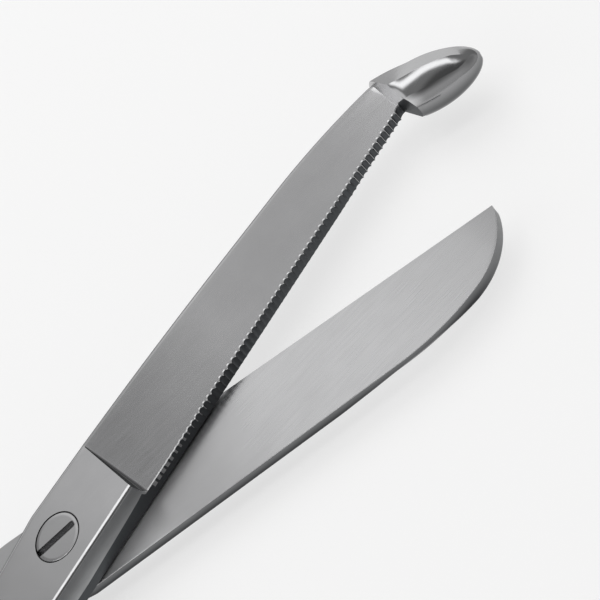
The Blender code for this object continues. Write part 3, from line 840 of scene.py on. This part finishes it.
def probe_grid(rows=64):
    """Half-frame grid of the probe and its crisp lines.

    A chord point is P (1 - t) + Q t + 4 h t (1 - t) outwards, with P and Q at (r cos p, r sin p).
    """
    s = np.concatenate([[-0.08, -0.02, 0.04, 0.10], 0.112 + 0.8835 * np.sin(np.linspace(0, np.pi / 2, rows))])
    t = s[:, None]
    centre = heel * (1 - t) ** 2 + bend * 2 * t * (1 - t) + nose * t * t
    slope = (bend - heel) * (1 - t) + (nose - bend) * t
    heading = mix(-np.radians(8.0), np.arctan2(slope[:, 1], slope[:, 0]), smooth(s / 0.35))
    past = np.maximum(s - 0.4, 0) / 0.6
    closing = np.sqrt(1 - past**2)
    half_width = mix(4.5, 5.0, smooth(s / 0.4)) * closing
    half_height = mix(3.5, 4.4, smooth((s + 0.2) / 0.9)) * closing
    fade = 1 - smooth((s - 0.75) / 0.20)
    round_off = smooth((s - 0.84) / 0.14)[:, None]
    ridge = np.interp(s, [0.0, 0.6, 0.8, 0.9, 0.95], [97, 98, 97, 102, 108])
    flank = np.interp(s, [0.1, 0.2, 0.3, 0.8, 0.85, 0.9, 0.95], [148, 139, 134.5, 134.5, 130, 122.5, 110])
    back, foot = np.full(len(s), 38.0), np.full(len(s), 154.0)
    angles = np.radians([back, ridge, flank, foot, back + 360.0])
    wide = 1.18 - 0.18 * smooth(s / 0.40)
    radii = np.stack([wide, 1 + 0.134 * fade, 1 + 0.043 * fade, np.ones(len(s)), wide])
    corners = np.stack([radii * np.cos(angles), radii * np.sin(angles)], -1)
    parts = []
    for k, (bulge, count) in enumerate(((0.0, 14), (0.03, 12), (0.012, 10), (None, 34))):
        share = np.arange(count)[None, :, None] / count
        turn = mix(angles[k][:, None], angles[k + 1][:, None], share[..., 0])
        radius = mix(radii[k][:, None, None], radii[k + 1][:, None, None], share)
        arc = np.stack([np.cos(turn), np.sin(turn)], -1) * radius
        if bulge is not None:
            chord_way = corners[k + 1] - corners[k]
            out = np.stack([chord_way[:, 1], -chord_way[:, 0]], -1)[:, None]
            out = out / np.linalg.norm(chord_way, axis=1)[:, None, None]
            chord = mix(corners[k][:, None], corners[k + 1][:, None], share) + 4 * bulge * share * (1 - share) * out
            arc = mix(chord, arc, round_off[..., None])
        parts.append(arc)
    section = np.concatenate(parts, axis=1)
    across = np.stack([-np.sin(heading), np.cos(heading)], -1)
    flat = centre[:, None] + across[:, None] * (half_width[:, None] * section[..., 0])[..., None]
    high = (2.4 - 0.3 * s)[:, None] + half_height[:, None] * section[..., 1]
    crisp = np.zeros((len(s) - 1, section.shape[1]), dtype=bool)
    crisp[np.ix_(s[1:] < 0.93, [0, 14, 26])] = True
    return np.concatenate([flat, high[..., None]], axis=2), crisp


probe, probe_lines = probe_grid()
polished = np.full((len(probe) - 1, probe.shape[1]), probe_face, dtype=np.int32)
probe_piece = make_piece("probe", to_world(probe, "serrated"), finishes["serrated"], polished, crisp=probe_lines)

# %% [markdown]
# The probe's heel is ground flat across, nearly square to the blade's back, so that it
# stands up from the blade as a small step. A block behind that plane takes the rest of the
# heel away. Below the rim a second block frees the last groove, so that the wheel can run
# out in front of the probe, and leaves the wheel's dark finish there.

# %% Flat heel
heel_point, heel_normal = np.array([87.5, -1.8, 3.9]), np.array([-1.0, 0.157, 0.19])
heel_normal /= np.linalg.norm(heel_normal)
heel_side = np.cross([0, 0, 1.0], heel_normal)
heel_side /= np.linalg.norm(heel_side)
heel_up = np.cross(heel_normal, heel_side)
square = np.array([[-1, -1], [1, -1], [1, 1], [-1, 1]]) * 12.0
block = heel_point + square[:, :1] * heel_side + square[:, 1:] * heel_up
block = np.stack([block, block + heel_normal * 8.0])
combine(probe_piece, make_piece("block", to_world(block, "serrated"), finishes["serrated"]), "DIFFERENCE")
corner = np.array([[78.0, -16.0], [86.4, -16.0], [86.4, -7.6], [78.0, -7.6]])
corner = np.stack([np.column_stack([corner, np.full(4, level_v)]) for level_v in (-7.0, 9.0)])
corner_piece = make_piece("corner", to_world(corner, "serrated"), finishes["serrated"], np.full(4, wheel_band))
combine(probe_piece, corner_piece, "DIFFERENCE")
print("heel and corner cut, faces:", len(probe_piece.data.polygons))

# %% [markdown]
# The lower half of the probe's heel is cut away along an arc about the pivot, because the
# plain blade's tip passes under it as the shears close.

# %% Clearance for the other tip
sector = np.linspace(np.radians(-22.0), np.radians(10.0), 80)
outer, inner = 88.0, 72.0
outline = np.concatenate([np.stack([outer * np.cos(sector), outer * np.sin(sector)], -1),
                          np.stack([inner * np.cos(sector[::-1]), inner * np.sin(sector[::-1])], -1)])
levels = np.array([-6.5, 0.5])
clearance = np.concatenate([np.repeat(outline[None], 2, 0), np.repeat(levels[:, None, None], len(outline), 1)], axis=2)
combine(probe_piece, make_piece("clearance", to_world(clearance, "serrated"), finishes["serrated"]), "DIFFERENCE")
combine(serrated_half, probe_piece, "UNION")
print("serrated half with probe, faces:", len(serrated_half.data.polygons))

# %% [markdown]
# ## Seat and screw
#
# The screw's head lies flush in a counterbore, with a gap of 0.2 mm that shows as a thin dark
# ring. The slot is milled from one rim and stops just short of the other. Both are cut with
# closed forms: a turned profile is an outline of radius and height carried once round.

# %% Turned forms
def turned_grid(profile, sides=128):
    """World grid of a profile (radius, height) in mm turned about the pivot."""
    radius, height = np.array(profile, float).T
    turn = np.linspace(0, 2 * np.pi, sides, endpoint=False)[None, :]
    flat = np.stack([radius[:, None] * np.cos(turn), radius[:, None] * np.sin(turn)], -1)
    tall = height[:, None] * np.ones_like(turn)
    return np.concatenate([flat, tall[..., None]], axis=2) * mm


seat = turned_grid([(2.7, 4.6), (2.7, 8.6), (4.2, 8.6), (4.2, 12.0)])
combine(serrated_half, make_piece("seat", seat, finishes["serrated"]), "DIFFERENCE")
bore = turned_grid([(2.5, -1.0), (2.5, 6.3)])
combine(plain_half, make_piece("bore", bore, finishes["plain"]), "DIFFERENCE")
screw_grid = turned_grid([(2.05, 0.0), (2.2, 0.15), (2.2, 5.45), (2.6, 5.6), (2.6, 8.9), (3.95, 8.9), (4.0, 8.95),
                          (4.0, 10.78), (3.965, 10.865), (3.88, 10.9), (3.4, 10.9)])
screw = make_piece("pivot_screw_steel", screw_grid, finishes["screw"])
slot_turn = np.radians(-5.0)
soft = np.linspace(0, np.pi / 2, 7)
soft_lip = np.stack([-0.35 - 0.5 * (1 - np.cos(soft)), 10.3 + 0.6 * np.sin(soft)], -1)
slot_section = np.concatenate([[[0.55, 12.0], [0.55, 9.8], [-0.35, 9.8]], soft_lip, [[-0.85, 12.0]]])
slot_along = np.array([-5.0, 3.0, 3.25, 3.4, 3.45])
slot_narrow = np.array([1.0, 1.0, 0.85, 0.6, 0.3])
slot_width = mix(0.1, slot_section[None, :, 0], slot_narrow[:, None])
slot = np.stack([slot_along[:, None] * np.cos(slot_turn) - slot_width * np.sin(slot_turn),
                 slot_along[:, None] * np.sin(slot_turn) + slot_width * np.cos(slot_turn),
                 np.broadcast_to(slot_section[None, :, 1], slot_width.shape)], -1)
combine(screw, make_piece("slot", slot * mm, finishes["screw"]), "DIFFERENCE")
print("screw faces:", len(screw.data.polygons))

# %% [markdown]
# ## Riding and hand-over
#
# Each finished piece rides on the body that carries it in the motion model, and stands for
# its CAD node.

# %% Ride, replace and finish
for piece, body, node, slot_name in (
    (serrated_half, "serrated", "serrated_half", "satin_steel"),
    (plain_half, "plain", "plain_half", "ground_steel"),
    (screw, "plain", "pivot_screw", "bright_steel"),
):
    finish_shading(piece)
    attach(piece, body)
    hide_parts(node)
    print(piece.name, "faces:", len(piece.data.polygons))
